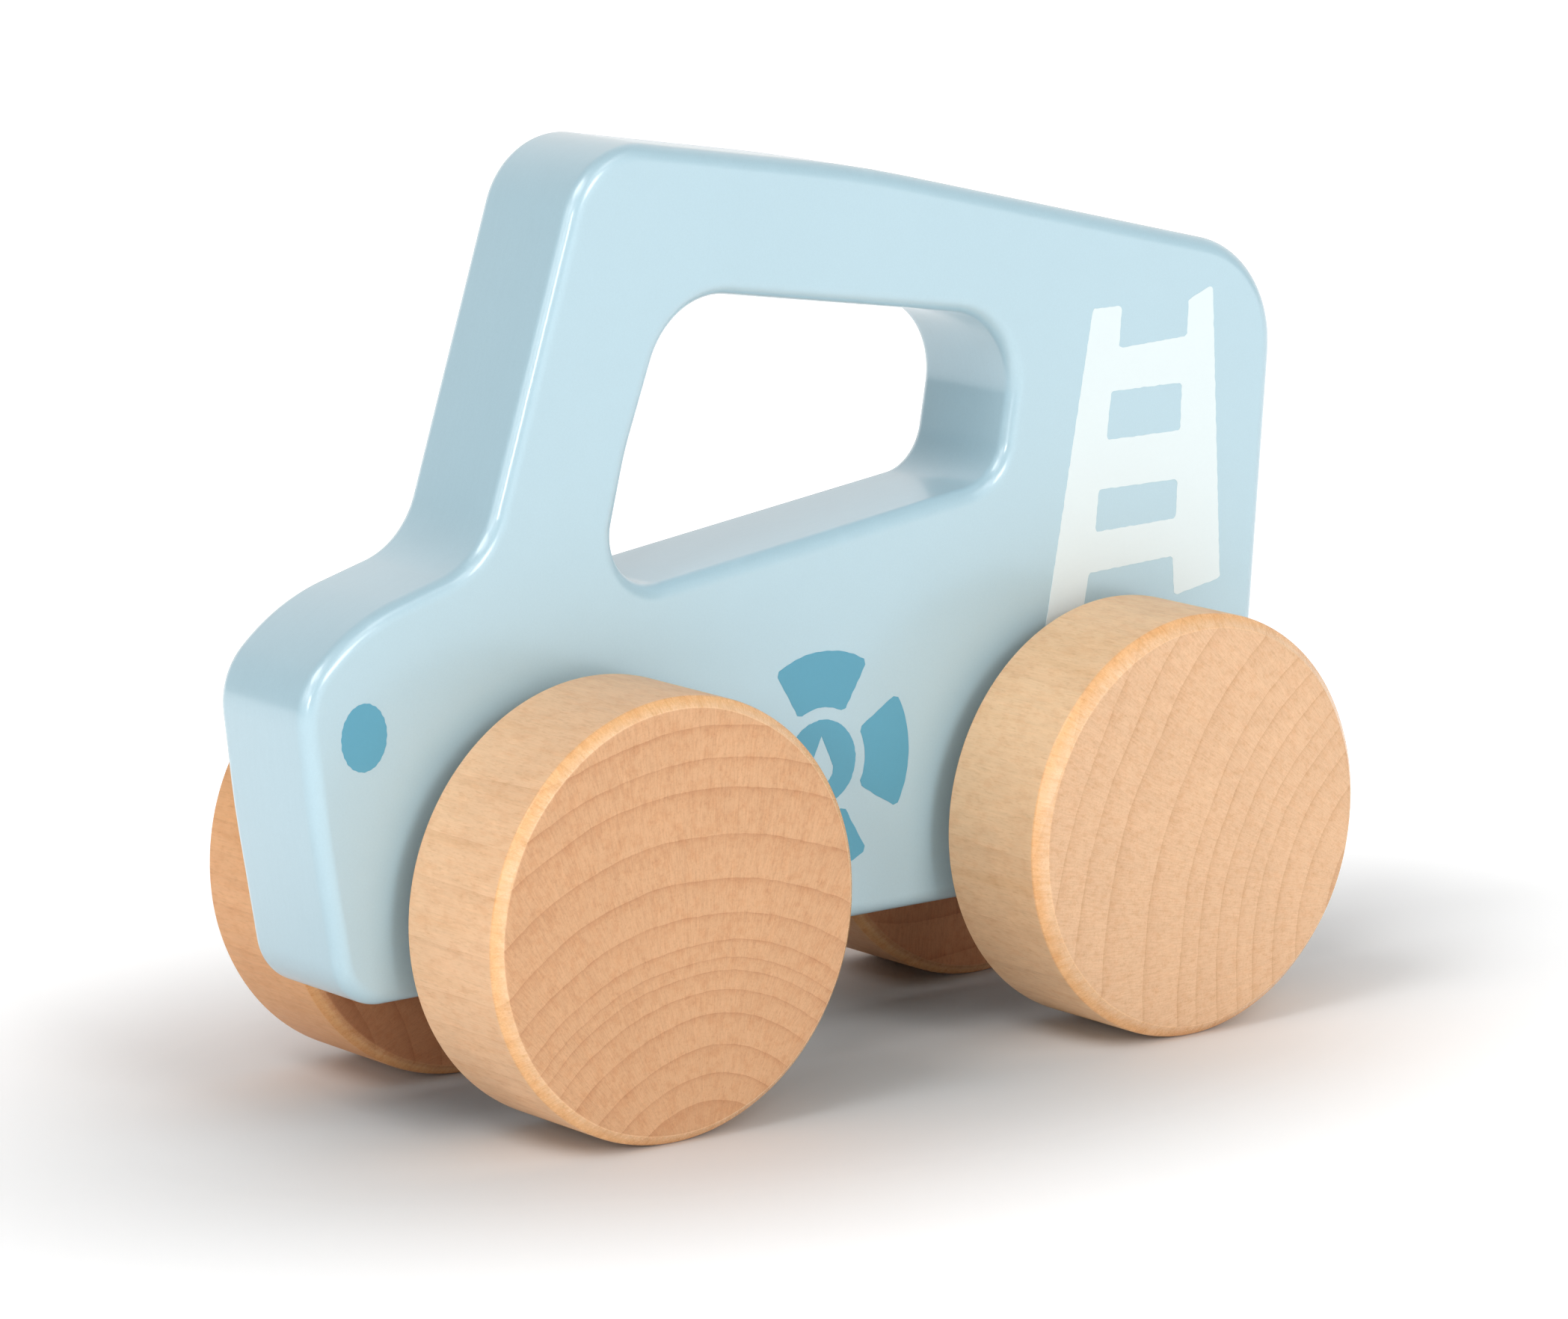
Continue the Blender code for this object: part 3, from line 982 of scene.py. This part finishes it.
def facing(direction, roll=0.0):
    """Rotation that points local -Z the other way from direction, with local X level before the roll."""
    back = direction.normalized()
    right = Vector((0, 0, 1)).cross(back).normalized()
    up = back.cross(right)
    turned_right = math.cos(roll) * right + math.sin(roll) * up
    turned_up = math.cos(roll) * up - math.sin(roll) * right
    return Matrix((turned_right, turned_up, back)).transposed().to_4x4()


def add_camera():
    data = bpy.data.cameras.new("camera")
    data.lens = CAMERA_LENS_MM
    data.sensor_width = CAMERA_SENSOR_MM
    camera = bpy.data.objects.new("camera", data)
    place = CAMERA_TARGET + CAMERA_BACK.normalized() * CAMERA_DISTANCE
    camera.matrix_world = Matrix.Translation(place) @ facing(CAMERA_BACK, CAMERA_ROLL)
    bpy.context.scene.collection.objects.link(camera)
    bpy.context.scene.camera = camera


def add_sun(name, azimuth, elevation, width, strength):
    """Even soft light from far away. Azimuth is from +Y towards +X; all angles are in degrees."""
    azimuth = math.radians(azimuth)
    elevation = math.radians(elevation)
    across = math.cos(elevation)
    way = Vector((math.sin(azimuth) * across, math.cos(azimuth) * across, math.sin(elevation)))
    data = bpy.data.lights.new(name, "SUN")
    data.angle = math.radians(width)
    data.energy = strength
    light = bpy.data.objects.new(name, data)
    light.matrix_world = facing(way)
    bpy.context.scene.collection.objects.link(light)


def add_world():
    """Surroundings that light the object from behind, and look white from every side."""
    world = bpy.data.worlds.new("studio")
    world.use_nodes = True
    tree = world.node_tree
    towards = tree.nodes.new("ShaderNodeVectorMath")
    towards.operation = "DOT_PRODUCT"
    towards.inputs[1].default_value = GLOW_WAY
    tree.links.new(tree.nodes.new("ShaderNodeTexCoord").outputs["Generated"], towards.inputs[0])
    glow = tree.nodes.new("ShaderNodeMapRange")
    glow.interpolation_type = "SMOOTHSTEP"
    for name, value in (("From Min", GLOW_STARTS), ("From Max", GLOW_FULL), ("To Max", GLOW_STRENGTH)):
        glow.inputs[name].default_value = value
    tree.links.new(towards.outputs["Value"], glow.inputs["Value"])
    seen = tree.nodes.new("ShaderNodeMath")
    seen.operation = "MAXIMUM"
    tree.links.new(glow.outputs[0], seen.inputs[0])
    tree.links.new(tree.nodes.new("ShaderNodeLightPath").outputs["Is Camera Ray"], seen.inputs[1])
    background = tree.nodes["Background"]
    background.inputs["Color"].default_value = (1, 1, 1, 1)
    tree.links.new(seen.outputs[0], background.inputs["Strength"])
    bpy.context.scene.world = world


make_board(paint_material("blue_satin_paint", PAINT_BLUE))
make_wheels()
finish_axles()
make_prints()
add_floor()
add_camera()
add_world()
for light_name, setting in SOFT_LIGHTS.items():
    add_sun(light_name, *setting)
bpy.context.scene.view_settings.view_transform = "Standard"
